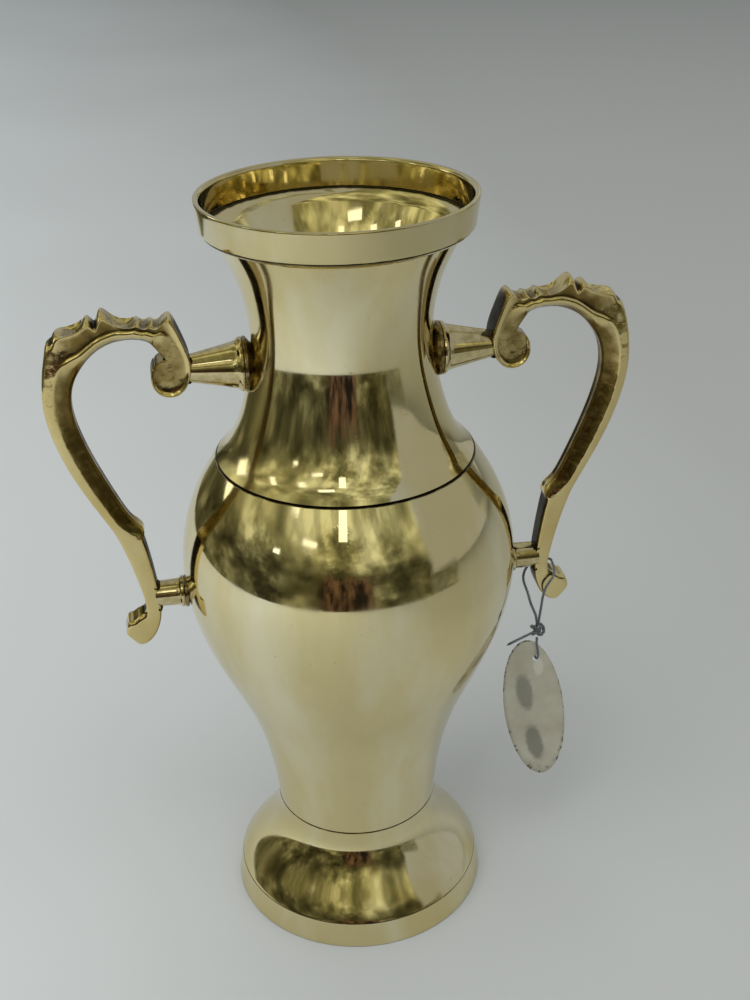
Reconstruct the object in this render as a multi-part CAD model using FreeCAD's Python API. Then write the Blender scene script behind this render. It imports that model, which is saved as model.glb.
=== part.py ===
import FreeCAD, Part
import math
import os

# A two-handled brass vase: turned rim band, neck, belly and foot, two cast scroll handles on
# turned bosses, and an oval tag on a string. Millimetres, +Z up, the foot's centre at the origin,
# the handles along X.
V = FreeCAD.Vector
UP = V(0, 0, 1)

# driving dimensions
height = 300.0
wall = 1.8
seam_z = 202.3          # neck on belly
foot_seam_z = 43.2      # belly on foot
band_z = 289.2          # rim band on the neck's flange
handle_width = 12.0     # along Y at the arch
upper_z = 239.5         # upper handle screws
lower_z = 147.5         # lower handle screws
screw_r = 2.0
clear_r = 2.2
string_d = 1.2
swing_z = 122.0         # where the hanging string bends
tag_x = 76.9
tag_y = -3.0


def outline(start, segments):
    """A closed wire in the XZ plane: each segment ends where the next one starts."""
    here = V(start[0], 0, start[1])
    first = here
    edges = []
    for kind, *points in segments:
        ends = [V(x, 0, z) for x, z in points]
        if kind == "line":
            edges.append(Part.LineSegment(here, ends[0]).toShape())
        elif kind == "arc":
            edges.append(Part.Arc(here, ends[0], ends[1]).toShape())
        else:
            curve = Part.BSplineCurve()
            curve.interpolate([here] + ends)
            edges.append(curve.toShape())
        here = ends[-1]
    if here.distanceToPoint(first) > 1e-6:
        edges.append(Part.LineSegment(here, first).toShape())
    return Part.Wire(edges)


def turned(start, segments):
    return Part.Face(outline(start, segments)).revolve(V(0, 0, 0), UP, 360)


def rod(x0, x1, z, radius, end_radius=None):
    """A turned rod or cone along X at height z."""
    if end_radius is None or abs(end_radius - radius) < 1e-9:
        return Part.makeCylinder(radius, x1 - x0, V(x0, 0, z), V(1, 0, 0))
    return Part.makeCone(radius, end_radius, x1 - x0, V(x0, 0, z), V(1, 0, 0))


def mirrored(shape):
    return shape.mirror(V(0, 0, 0), V(1, 0, 0))


def tube(route, diameter, name):
    """A round tube of straight runs and tangent arcs through the route's points."""
    points = [V(*p) for p in route]
    runs = [a.distanceToPoint(b) for a, b in zip(points, points[1:])]
    edges, here, radii, length = [], points[0], [], 0.0
    for i in range(1, len(points) - 1):
        back = (points[i - 1] - points[i]).normalize()
        on = (points[i + 1] - points[i]).normalize()
        half = (math.pi - back.getAngle(on)) / 2
        cut = 0.45 * min(runs[i - 1], runs[i])
        radius = cut / math.tan(half)
        middle = (back + on).normalize()
        a, b = points[i] + back * cut, points[i] + on * cut
        m = points[i] + middle * (radius / math.cos(half) - radius)
        edges += [Part.LineSegment(here, a).toShape(), Part.Arc(a, m, b).toShape()]
        here = b
        radii.append(radius)
    edges.append(Part.LineSegment(here, points[-1]).toShape())
    path = Part.Wire(edges)
    ring = Part.Wire(Part.makeCircle(diameter / 2, points[0], points[1] - points[0]))
    solid = path.makePipeShell([ring], True, False)
    section = math.pi * diameter**2 / 4
    print(name, "radii", [round(r, 1) for r in radii], "length", round(path.Length, 1),
          "volume/expected", round(solid.Volume / (section * path.Length), 4))
    return solid


# the turned body's outer lines: a start, then the middle and end of each arc, from the top down
neck_line = [(43.9, 287.0), ((33.1, 250.0), (42.2, 210.0)), ((44.6, 206.2), (47.9, seam_z + 0.4))]
belly_line = [(48.6, seam_z - 0.4), ((60.2, 182.0), (64.3, 159.0)), ((61.2, 134.3), (52.3, 111.0)),
              ((39.9, 82.0), (33.0, foot_seam_z + 0.4))]
foot_line = [(33.2, foot_seam_z - 0.4), ((34.0, 35.6), (37.2, 28.6)), ((42.6, 22.2), (50.7, 10.7))]
neck_wall = 1.6
foot_wall = 2.0


def arcs(line):
    """The edges of an outer line."""
    here = V(line[0][0], 0, line[0][1])
    edges = []
    for middle, end in line[1:]:
        there = V(end[0], 0, end[1])
        edges.append(Part.Arc(here, V(middle[0], 0, middle[1]), there).toShape())
        here = there
    return edges


def offset(edges, thick):
    """The same arcs moved towards the axis by the wall's thickness, joined end to end."""
    moved = []
    for edge in edges:
        centre, radius = edge.Curve.Center, edge.Curve.Radius
        grow = thick if centre.x > edge.Vertexes[0].Point.x else -thick
        ends = [centre + (edge.valueAt(t) - centre) * ((radius + grow) / radius)
                for t in (edge.FirstParameter, sum(edge.ParameterRange) / 2, edge.LastParameter)]
        if (ends[0] - V(edge.Vertexes[0].X, 0, edge.Vertexes[0].Z)).Length > 2 * thick:
            ends.reverse()
        if moved:
            ends[0] = moved[-1].Vertexes[1].Point
        moved.append(Part.Arc(*ends).toShape())
    return moved


def skin(line, thick):
    """A turned wall whose outside follows the line."""
    outer = arcs(line)
    inner = offset(outer, thick)
    caps = [Part.LineSegment(outer[i].Vertexes[j].Point, inner[i].Vertexes[j].Point).toShape()
            for i, j in ((0, 0), (-1, 1))]
    wire = Part.Wire(Part.__sortEdges__(outer + inner + caps))
    return Part.Face(wire).revolve(V(0, 0, 0), UP, 360)


def filled(line):
    """Everything inside a turned line."""
    top, low = line[0][1], line[-1][1][1]
    edges = arcs(line)
    first, last = V(line[0][0], 0, top), V(line[-1][1][0], 0, low)
    for a, b in ((last, V(0, 0, low)), (V(0, 0, low), V(0, 0, top)), (V(0, 0, top), first)):
        edges.append(Part.LineSegment(a, b).toShape())
    return Part.Face(Part.Wire(edges)).revolve(V(0, 0, 0), UP, 360)


def rim_band():
    inner, low, top = 47.2, 48.2, 49.65
    lip = 1.0
    return turned((inner, band_z), [
        ("line", (low - 0.4, band_z)),
        ("arc", (low - 0.1, band_z + 0.15), (low, band_z + 0.5)),
        ("line", (top, height - lip)),
        ("arc", (top - 0.35, height - 0.25), (top - 1.1, height)),
        ("arc", (inner + 0.15, height - 0.35), (inner, height - 1.2)),
    ])


spigot_r = 46.4         # the neck's register in the belly's mouth
flange_r = 47.6


def neck():
    top, low = neck_line[0], neck_line[-1][1]
    flange = turned((flange_r, band_z), [
        ("line", (flange_r, band_z - 0.8)),
        ("arc", (45.4, band_z - 1.1), top),
        ("line", (42.6, 286.1)),
        ("arc", (43.5, band_z - 1.0), (spigot_r - 0.2, band_z)),
    ])
    register = turned((spigot_r, seam_z + 1.2), [
        ("line", (spigot_r, seam_z - 4)),
        ("line", (spigot_r - 1.8, seam_z - 4)),
        ("line", (spigot_r - 1.8, seam_z + 1.8)),
    ])
    hem = turned((low[0], low[1] + 0.01), [
        ("line", (low[0] - 0.4, seam_z)),
        ("line", (spigot_r - 1.0, seam_z)),
        ("line", (spigot_r - 1.0, low[1] + 0.5)),
    ])
    below = Part.makeCylinder(flange_r, 8, V(0, 0, seam_z - 8), UP)
    below = below.cut(Part.makeCylinder(spigot_r, 8, V(0, 0, seam_z - 8), UP))
    return skin(neck_line, neck_wall).fuse([flange, register, hem]).cut(below).removeSplitter()


floor_thick = 2.5
stud_r = 4.0
stud_low = 29.5


def belly():
    top, low = belly_line[0], belly_line[-1][1]
    floor_z = foot_seam_z + floor_thick
    bottom = turned((0, floor_z), [
        ("line", (0, stud_low)),
        ("line", (stud_r - 0.6, stud_low)),
        ("line", (stud_r, stud_low + 0.6)),
        ("line", (stud_r, foot_seam_z)),
        ("line", (low[0] - 0.4, foot_seam_z)),
        ("line", low),
        ("line", (low[0] - wall / 2, floor_z)),
    ])
    mouth = turned((top[0], top[1] - 0.01), [
        ("line", (top[0] - 0.4, seam_z)),
        ("line", (spigot_r, seam_z)),
        ("line", (spigot_r, seam_z - 2.0)),
        ("line", (spigot_r + 1.2, seam_z - 2.6)),
    ])
    return skin(belly_line, wall).fuse([bottom, mouth]).cut(
        Part.makeCylinder(spigot_r, 20, V(0, 0, seam_z - 4.5), UP)).removeSplitter()


deck_thick = 3.0


def foot():
    top, crease = foot_line[0], foot_line[-1][1]
    deck_z = foot_seam_z - deck_thick
    ring = turned((52.6 - foot_wall, 0), [
        ("line", (52.3, 0)),
        ("arc", (52.55, 0.12), (52.65, 0.5)),
        ("line", crease),
        ("line", (crease[0] - foot_wall, crease[1] - 0.7)),
    ])
    deck = turned((stud_r, foot_seam_z), [
        ("line", (top[0] - 0.4, foot_seam_z)),
        ("line", top),
        ("line", (top[0] - foot_wall / 2, deck_z)),
        ("line", (stud_r, deck_z)),
    ])
    return skin(foot_line, foot_wall).fuse([ring, deck]).removeSplitter()


washer_thick = 1.6
nut_high = 6.5
nut_flats = 13.0


def foot_washer():
    z = foot_seam_z - deck_thick - washer_thick
    disc = Part.makeCylinder(9, washer_thick, V(0, 0, z), UP)
    return disc.cut(Part.makeCylinder(stud_r, 10, V(0, 0, z - 1), UP))


def foot_nut():
    z = foot_seam_z - deck_thick - washer_thick - nut_high
    across = nut_flats / math.sqrt(3)
    corners = [V(across * math.cos(math.radians(60 * i)), across * math.sin(math.radians(60 * i)), z)
               for i in range(7)]
    hexagon = Part.Face(Part.makePolygon(corners)).extrude(UP * nut_high)
    crown = Part.makeCone(across + 1.2, across - 1.0, nut_high, V(0, 0, z), UP)
    crown = crown.mirror(V(0, 0, z + nut_high / 2), UP)
    return hexagon.common(crown).cut(Part.makeCylinder(stud_r, 20, V(0, 0, z - 1), UP))


def handle_outline():
    return outline((54.6, 244.5), [
        ("line", (59.8, 260.4)),
        ("arc", (61.2, 260.6), (62.2, 259.8)),
        ("arc", (64.2, 258.0), (66.4, 259.4)),
        ("arc", (69.0, 257.6), (71.4, 260.0)),
        ("arc", (77.3, 259.2), (83.6, 264.2)),
        ("arc", (84.6, 264.6), (85.4, 263.8)),
        ("line", (87.3, 259.6)),
        ("line", (89.6, 262.2)),
        ("arc", (95.2, 257.6), (101.4, 255.4)),
        ("line", (102.0, 252.4)),
        ("line", (104.0, 252.6)),
        ("arc", (109.2, 238.5), (107.2, 221.0)),
        ("spline", (101.5, 202.0), (92.6, 184.5), (84.8, 168.0), (80.2, 146.5)),
        ("arc", (81.0, 141.6), (85.6, 139.2)),
        ("arc", (89.4, 132.4), (83.6, 127.2)),
        ("arc", (77.4, 130.8), (74.4, 143.0)),
        ("line", (74.6, 153.0)),
        ("line", (78.2, 175.2)),
        ("arc", (78.6, 178.2), (81.2, 179.4)),
        ("spline", (89.2, 195.0), (96.8, 214.0), (99.2, 231.0)),
        ("arc", (93.2, 247.0), (79.0, 253.6)),
        ("arc", (71.6, 252.2), (66.6, 246.0)),
        ("line", (66.4, 243.6)),
        ("arc", (62.4, 230.6), (55.6, 236.0)),
    ])


def handle():
    body = Part.Face(handle_outline()).extrude(V(0, handle_width, 0))
    body.translate(V(0, -handle_width / 2, 0))
    half = handle_width / 2
    side = [(half, 270), (half, 215), (4.9, 182), (4.3, 160), (4.3, 146), (5.2, 136), (4.6, 124)]
    ring = [V(40, y, z) for y, z in side] + [V(40, -y, z) for y, z in reversed(side)]
    plan = Part.Face(Part.makePolygon(ring + [ring[0]])).extrude(V(90, 0, 0))
    body = body.common(plan)
    for z, depth in ((upper_z, 63.0), (lower_z, 78.4)):
        body = body.cut(rod(40, depth, z, screw_r))
    return body


# bosses: collar plane, wide radius, narrow radius, how far the boss runs into the handle's outline
bosses = {"upper": (36.3, 10.0, 4.7, 57.5, upper_z), "lower": (65.0, 6.2, 5.0, 76.0, lower_z)}


def collar(level, vessel):
    face, wide, _, _, z = bosses[level]
    disc = rod(face - 7, face, z, wide + 0.9)
    return disc.cut(vessel).cut(rod(0, 100, z, clear_r))


def boss(level, grip):
    face, wide, narrow, reach, z = bosses[level]
    cone = rod(face, reach, z, wide, narrow)
    solids = cone.cut(grip).cut(rod(0, 100, z, clear_r)).Solids
    return max(solids, key=lambda s: s.Volume)


def screw(x_head, x_end, z):
    head = rod(x_head - 2.6, x_head, z, 3.6)
    head = head.cut(Part.makeBox(1.2, 8, 1.0, V(x_head - 2.6, -4, z - 0.5)))
    return head.fuse(rod(x_head, x_end, z, screw_r)).removeSplitter()


def screw_washer(x_face, z, shell):
    disc = rod(x_face - 1.2, x_face + 1.5, z, 4.6)
    ring = disc.cut(shell).cut(rod(0, 100, z, clear_r))
    return min(ring.Solids, key=lambda s: s.BoundBox.XMin)


# the string: two strands from the crook above the foot scroll, one over the front of the leg and
# one round its back
crook = (82.6, 0.6, 143.4)
front_strand = [crook, (83.3, -6.0, 141.4), (79.4, -7.6, 136.2), (78.7, -6.0, 130.4),
                (78.3, -4.2, 126.4), (78.0, -3.4, swing_z + 0.6)]
back_strand = [crook, (81.6, 7.0, 141.8), (75.2, 7.9, 138.2), (70.7, 2.8, 135.2), (71.0, -3.2, 131.6),
               (73.4, -4.0, 127.0), (76.0, -3.4, swing_z + 0.6)]
drop_top = swing_z - 0.9
drop_low = 116.6
knot_top = 115.5
knot_low = 109.7
tail = [(tag_x - 1.5, tag_y - 0.6, 112.1), (tag_x - 6.0, tag_y - 2.4, 111.6),
        (tag_x - 9.8, tag_y - 2.6, 110.2), (tag_x - 13.6, tag_y - 2.9, 108.6)]


def string_drop():
    return Part.makeCylinder(string_d, drop_top - drop_low, V(tag_x, tag_y, drop_low), UP)


def string_knot():
    body = Part.makeCylinder(3.3, knot_top - knot_low, V(tag_x, tag_y, knot_low), UP)
    return body.makeFillet(1.9, body.Edges)


tag_long = 71.0
tag_wide = 26.0
tag_thick = 0.6
tag_lean = 8.8          # degrees, the long axis against the plumb line
tag_centre = V(tag_x, tag_y, 72.8)
hole_z = 98.6
hole_r = 1.6


def tag_card():
    lean = math.radians(tag_lean)
    along = V(-math.sin(lean), 0, math.cos(lean))
    oval = Part.Ellipse(tag_centre + along * (tag_long / 2),
                        tag_centre + V(along.z, 0, -along.x) * (tag_wide / 2), tag_centre)
    card = Part.Face(Part.Wire(oval.toShape())).extrude(V(0, tag_thick, 0))
    card.translate(V(0, -tag_thick / 2, 0))
    hole = Part.makeCylinder(hole_r, 10, V(tag_x, tag_y - 5, hole_z), V(0, 1, 0))
    return card.cut(hole)


def tag_tie():
    """A link of string through the tag's hole and over its top edge."""
    half, low, high, r = 1.7, hole_z + 1.7, 106.6, string_d / 2
    parts = [Part.makeCylinder(r, high - low, V(tag_x, tag_y + s * half, low), UP) for s in (-1, 1)]
    ring = Part.makeTorus(half, r, V(tag_x, tag_y, 0), V(1, 0, 0))
    keep = Part.makeBox(20, 20, 20, V(tag_x - 10, tag_y - 10, 0))
    upper = ring.common(keep)
    lower = ring.cut(keep)
    upper.translate(V(0, 0, high))
    lower.translate(V(0, 0, low))
    return parts[0].fuse([parts[1], upper, lower]).removeSplitter()


def build():
    grip = handle()
    neck_full, belly_full = filled(neck_line), filled(belly_line)
    neck_shell, belly_shell = neck(), belly()
    fits = {"upper": (neck_full, neck_shell, 30.6, 63.0), "lower": (belly_full, belly_shell, 60.6, 78.4)}
    nodes = {"rim_band": rim_band(), "foot": foot(), "foot_washer": foot_washer(), "foot_nut": foot_nut(),
             "right_handle": grip, "left_handle": mirrored(grip)}
    for level, (full, shell, x_face, x_end) in fits.items():
        z = bosses[level][4]
        pieces = {"collar": collar(level, full), "boss": boss(level, grip)}
        for name, shape in pieces.items():
            nodes[f"{level}_{name}_right"] = shape
            nodes[f"{level}_{name}_left"] = mirrored(shape)
        bolt = screw(x_face - 1.2, x_end, z)
        drilled = shell.cut(rod(-100, 100, z, clear_r))
        ring = screw_washer(x_face, z, drilled)
        nodes[f"{level}_handle_screws"] = Part.Compound([bolt, mirrored(bolt)])
        nodes[f"{level}_screw_washers"] = Part.Compound([ring, mirrored(ring)])
        nodes["neck" if level == "upper" else "belly"] = drilled
    nodes["string_front_strand"] = tube(front_strand, string_d, "front strand")
    nodes["string_back_strand"] = tube(back_strand, string_d, "back strand")
    nodes["string_drop"] = string_drop()
    nodes["string_knot"] = string_knot()
    nodes["string_tail"] = tube(tail, string_d, "tail")
    nodes["tag_tie"] = tag_tie()
    nodes["tag_card"] = tag_card()
    return nodes


os.makedirs("parts", exist_ok=True)
for name, shape in build().items():
    print(name, "valid", shape.isValid(), "solids", len(shape.Solids), "volume", round(shape.Volume, 1))
    shape.exportStep(f"parts/{name}.step")
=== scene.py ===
import bpy
import bmesh
import math
import numpy as np
from mathutils import Matrix, Vector, noise


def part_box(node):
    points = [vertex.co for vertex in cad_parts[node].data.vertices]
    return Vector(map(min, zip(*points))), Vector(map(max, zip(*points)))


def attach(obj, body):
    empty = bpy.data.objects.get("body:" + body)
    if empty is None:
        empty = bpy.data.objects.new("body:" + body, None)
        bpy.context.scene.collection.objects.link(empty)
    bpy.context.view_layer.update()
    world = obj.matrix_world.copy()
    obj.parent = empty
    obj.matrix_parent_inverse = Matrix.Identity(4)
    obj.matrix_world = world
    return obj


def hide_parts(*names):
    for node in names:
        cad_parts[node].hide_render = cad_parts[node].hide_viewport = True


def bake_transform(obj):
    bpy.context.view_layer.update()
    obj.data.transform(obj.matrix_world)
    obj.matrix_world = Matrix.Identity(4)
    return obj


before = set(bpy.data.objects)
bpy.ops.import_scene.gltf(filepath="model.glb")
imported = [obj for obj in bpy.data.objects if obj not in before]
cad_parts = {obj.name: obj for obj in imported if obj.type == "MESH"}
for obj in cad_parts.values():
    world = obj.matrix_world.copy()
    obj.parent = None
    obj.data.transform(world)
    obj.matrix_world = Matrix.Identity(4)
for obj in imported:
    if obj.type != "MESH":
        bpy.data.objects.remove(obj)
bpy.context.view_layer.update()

print("frame loaded:", len(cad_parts), "nodes")

mm = 0.001
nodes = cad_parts

rimLow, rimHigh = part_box("rim_band")
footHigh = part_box("foot")[1]
cardLow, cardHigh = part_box("tag_card")
tieLow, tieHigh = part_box("tag_tie")
knotLow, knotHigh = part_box("string_knot")
seamZ = 0.2023                       # neck on belly
footSeamZ = footHigh.z               # belly on foot
bandZ = rimLow.z                     # rim band on neck


# camera first, so the cords can be judged in its view
camera = {"distance": 0.4671, "height": 0.426, "turn": -7.9, "aim": -9.21, "down": 27.8, "roll": -1.33,
          "lens": 49.5, "sensor": 36.0}


def makeCamera():
    data = bpy.data.cameras.new("view_camera")
    data.lens = camera["lens"]
    data.sensor_width = camera["sensor"]
    data.sensor_fit = "AUTO"
    data.clip_start = 0.01
    data.clip_end = 60
    eye = bpy.data.objects.new("view_camera", data)
    bpy.context.scene.collection.objects.link(eye)
    turn = math.radians(camera["turn"])
    eye.location = (math.sin(turn) * camera["distance"], -math.cos(turn) * camera["distance"],
                    camera["height"])
    look = (Matrix.Rotation(math.radians(camera["aim"]), 3, "Z")
            @ Matrix.Rotation(math.radians(90 - camera["down"]), 3, "X")
            @ Matrix.Rotation(math.radians(camera["roll"]), 3, "Z"))
    eye.rotation_euler = look.to_euler()
    bpy.context.scene.camera = eye


makeCamera()
print("camera set")


# small helpers for modelling
def selectOnly(piece):
    bpy.ops.object.select_all(action="DESELECT")
    piece.select_set(True)
    bpy.context.view_layer.objects.active = piece


def startEditing(piece):
    selectOnly(piece)
    bpy.ops.object.mode_set(mode="EDIT")


def stopEditing():
    bpy.ops.object.mode_set(mode="OBJECT")


def cleanUp(piece, sharp=35, merge=2e-6):
    startEditing(piece)
    bpy.ops.mesh.select_all(action="SELECT")
    bpy.ops.mesh.remove_doubles(threshold=merge)
    bpy.ops.mesh.normals_make_consistent(inside=False)
    stopEditing()
    bpy.ops.object.shade_smooth_by_angle(angle=math.radians(sharp))


def applyModifiers(piece):
    selectOnly(piece)
    for mod in list(piece.modifiers):
        bpy.ops.object.modifier_apply(modifier=mod.name)


def finishPiece(piece, body, slot, finish, *stoodFor):
    piece.data.materials.clear()
    piece.data.materials.append(finish)
    if body:
        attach(piece, body)
    if stoodFor:
        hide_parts(*stoodFor)
    return piece


def smoothLine(points, spacing):
    # keeps the curvature even through the points, which a mirror finish shows
    p = np.array(points, float)
    t = np.concatenate([[0], np.cumsum(np.linalg.norm(np.diff(p, axis=0), axis=1))])
    n = len(t)
    h = np.diff(t)
    a = np.zeros((n, n))
    b = np.zeros((n, p.shape[1]))
    a[0, 0] = a[-1, -1] = 1
    for i in range(1, n - 1):
        a[i, i - 1], a[i, i], a[i, i + 1] = h[i - 1], 2 * (h[i - 1] + h[i]), h[i]
        b[i] = 6 * ((p[i + 1] - p[i]) / h[i] - (p[i] - p[i - 1]) / h[i - 1])
    m = np.linalg.solve(a, b)
    out = []
    for s in np.linspace(0, t[-1], max(2, int(round(t[-1] / spacing)) + 1)):
        i = min(max(int(np.searchsorted(t, s) - 1), 0), n - 2)
        u, v = t[i + 1] - s, s - t[i]
        out.append((m[i] * u**3 + m[i + 1] * v**3) / (6 * h[i])
                   + (p[i] / h[i] - m[i] * h[i] / 6) * u + (p[i + 1] / h[i] - m[i + 1] * h[i] / 6) * v)
    return [tuple(q) for q in out]


def inwards(line, thick):
    # the same line moved to its left-hand side by a thickness
    moved = []
    for i, (r, z) in enumerate(line):
        a, b = line[max(i - 1, 0)], line[min(i + 1, len(line) - 1)]
        d = Vector((b[0] - a[0], b[1] - a[1])).normalized()
        moved.append((r - d.y * thick, z + d.x * thick))
    return moved


def lathe(name, profile, steps=192, along="Z", centre=(0, 0, 0), closed=True):
    # profile holds (radius, height) in millimetres; it is drawn by extruding one vertex, then spun
    axis = {"Z": Vector((0, 0, 1)), "X": Vector((1, 0, 0)), "Y": Vector((0, 1, 0))}[along]
    side = Vector((1, 0, 0)) if along == "Y" else Vector((0, -1, 0))
    middle = Vector(centre)
    spots = [middle + side * (r * mm) + axis * (z * mm) for r, z in profile]
    bpy.ops.object.select_all(action="DESELECT")
    bpy.ops.mesh.primitive_plane_add(size=0.002, location=spots[0])
    piece = bpy.context.object
    piece.name = piece.data.name = name
    bpy.ops.object.transform_apply(location=True, rotation=True, scale=True)
    bpy.ops.object.mode_set(mode="EDIT")
    bpy.ops.mesh.select_all(action="SELECT")
    bpy.ops.mesh.merge(type="CENTER")
    for a, b in zip(spots, spots[1:]):
        bpy.ops.mesh.extrude_vertices_move(TRANSFORM_OT_translate={"value": b - a})
    if closed:
        bpy.ops.mesh.extrude_vertices_move(TRANSFORM_OT_translate={"value": spots[0] - spots[-1]})
    bpy.ops.mesh.select_all(action="SELECT")
    if closed:
        bpy.ops.mesh.remove_doubles(threshold=1e-6)
    bpy.ops.mesh.spin(steps=steps, angle=2 * math.pi, center=middle, axis=axis, use_auto_merge=True)
    stopEditing()
    return piece


def rounded(points, radius, corners, steps=3):
    # rounds the named corners of an outline of (x, y) points
    out = []
    for i, p in enumerate(points):
        if i not in corners:
            out.append(p)
            continue
        p = Vector(p)
        a = (Vector(points[i - 1]) - p)
        b = (Vector(points[(i + 1) % len(points)]) - p)
        r = min(radius, 0.45 * a.length, 0.45 * b.length)
        s, e = p + a.normalized() * r, p + b.normalized() * r
        for k in range(steps + 1):
            t = k / steps
            q = s * (1 - t)**2 + p * (2 * t * (1 - t)) + e * t**2
            out.append((q.x, q.y))
    return out


# materials
def newMaterial(name):
    mat = bpy.data.materials.new(name)
    mat.use_nodes = True
    tree = mat.node_tree
    shader = tree.nodes["Principled BSDF"]
    return mat, tree, shader


def addNode(tree, kind, inputs=None, **settings):
    made = tree.nodes.new(kind)
    for key, value in settings.items():
        setattr(made, key, value)
    for key, value in (inputs or {}).items():
        socket = made.inputs[key]
        if isinstance(value, bpy.types.NodeSocket):
            tree.links.new(value, socket)
        else:
            socket.default_value = value
    return made


def attributeOf(tree, name):
    return addNode(tree, "ShaderNodeAttribute", attribute_name=name).outputs["Fac"]


def spread(tree, value, low, high, fromLow=0.0, fromHigh=1.0):
    # the share between fromLow and fromHigh, spread from low to high
    return addNode(tree, "ShaderNodeMapRange", {"Value": value, "From Min": fromLow, "From Max": fromHigh,
                                                "To Min": low, "To Max": high}).outputs[0]


def objectPoint(tree, scale=(1, 1, 1), turn=(0, 0, 0)):
    where = addNode(tree, "ShaderNodeTexCoord")
    return addNode(tree, "ShaderNodeMapping",
                   {"Vector": where.outputs["Object"], "Scale": scale, "Rotation": turn}).outputs[0]


def noiseOf(tree, scale, detail=3.0, rough=0.5, stretch=(1, 1, 1), turn=(0, 0, 0)):
    return addNode(tree, "ShaderNodeTexNoise",
                   {"Vector": objectPoint(tree, stretch, turn), "Scale": scale, "Detail": detail,
                                                "Roughness": rough}).outputs["Fac"]


def ramp(tree, value, *stops):
    made = addNode(tree, "ShaderNodeValToRGB", {"Fac": value})
    band = made.color_ramp
    while len(band.elements) < len(stops):
        band.elements.new(0.5)
    for spot, (place, shade) in zip(band.elements, stops):
        spot.position = place
        spot.color = (*shade, 1) if isinstance(shade, tuple) else (shade, shade, shade, 1)
    return made.outputs["Color"]


def mathOf(tree, operation, a, b=0.0, clamp=False):
    made = addNode(tree, "ShaderNodeMath", operation=operation, use_clamp=clamp)
    for i, value in enumerate((a, b)):
        if isinstance(value, bpy.types.NodeSocket):
            tree.links.new(value, made.inputs[i])
        else:
            made.inputs[i].default_value = value
    return made.outputs[0]


def mixColour(tree, share, a, b, blend="MIX"):
    made = addNode(tree, "ShaderNodeMix", data_type="RGBA", blend_type=blend)
    for i, value in ((0, share), (6, a), (7, b)):
        if isinstance(value, bpy.types.NodeSocket):
            tree.links.new(value, made.inputs[i])
        elif i == 0:
            made.inputs[0].default_value = value
        else:
            made.inputs[i].default_value = (*value, 1)
    return made.outputs[2]


def bumps(tree, shader, *layers):
    # each layer is (height, depth in metres); they add up
    last = None
    for height, depth in layers:
        made = addNode(tree, "ShaderNodeBump", {"Height": height, "Distance": depth, "Strength": 1.0})
        if last is not None:
            tree.links.new(last, made.inputs["Normal"])
        last = made.outputs[0]
    tree.links.new(last, shader.inputs["Normal"])


def heightBand(tree, z, half):
    # 1 at height z, falling to 0 half a width away
    split = addNode(tree, "ShaderNodeSeparateXYZ", {"Vector": objectPoint(tree)})
    away = mathOf(tree, "ABSOLUTE", mathOf(tree, "SUBTRACT", split.outputs["Z"], z))
    return mathOf(tree, "SUBTRACT", 1.0, mathOf(tree, "DIVIDE", away, half, clamp=True), clamp=True)


brassLook = {
    "pale": (0.75, 0.645, 0.35), "deep": (0.63, 0.51, 0.225), "wiped": (0.84, 0.78, 0.56),
    "dirt": (0.035, 0.026, 0.010),
    "rough": (0.035, 0.17), "waviness": 0.00006, "turning": 0.0000012,
}


def spunBrass(name, seams=(), paintedShadeFactor=1.0):
    # mirror-polished turned brass: slow waves, faint turning rings, smears and hair scratches
    mat, tree, shader = newMaterial(name)
    shader.inputs["Metallic"].default_value = 1.0
    cloudy = noiseOf(tree, 14, 4, 0.55)
    smear = noiseOf(tree, 48, 5, 0.6, (1, 1, 0.25))
    # a factor under 1 darkens every colour as painted shade; the rim band uses it
    pale, deep, wipe = (tuple(paintedShadeFactor * c for c in brassLook[k]) for k in ("pale", "deep", "wiped"))
    colour = mixColour(tree, ramp(tree, cloudy, (0.35, 0.0), (0.75, 0.55)), pale, deep)
    wiped = noiseOf(tree, 36, 4, 0.55, (1, 1, 0.22))
    colour = mixColour(tree, ramp(tree, wiped, (0.46, 0.0), (0.70, 0.75)), colour, wipe)
    specks = ramp(tree, noiseOf(tree, 900, 2, 0.5), (0.70, 0.0), (0.78, 0.6))
    colour = mixColour(tree, specks, colour, (0.45, 0.34, 0.14))
    dirt = None
    for z, half in seams:
        line = heightBand(tree, z, half)
        dirt = line if dirt is None else mathOf(tree, "MAXIMUM", dirt, line)
    rough = spread(tree, smear, *brassLook["rough"], 0.35, 0.75)
    if dirt is not None:
        edge = ramp(tree, mathOf(tree, "ADD", dirt, mathOf(tree, "MULTIPLY", noiseOf(tree, 260, 3), 0.5)),
                    (0.62, 0.0), (0.95, 1.0))
        colour = mixColour(tree, edge, colour, brassLook["dirt"])
        rough = mathOf(tree, "ADD", rough, mathOf(tree, "MULTIPLY", edge, 0.35))
    tree.links.new(colour, shader.inputs["Base Color"])
    tree.links.new(rough, shader.inputs["Roughness"])
    waves = noiseOf(tree, 24, 1.5, 0.4, (1, 1, 0.8))
    rings = noiseOf(tree, 1800, 2, 0.5, (0.004, 0.004, 1))
    hair = ramp(tree, noiseOf(tree, 420, 2, 0.5, (1, 0.06, 0.9), (0.4, 0.7, 0.2)), (0.66, 0.0), (0.70, 1.0))
    bumps(tree, shader, (waves, brassLook["waviness"]), (rings, brassLook["turning"]), (hair, 0.000004))
    return mat


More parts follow.
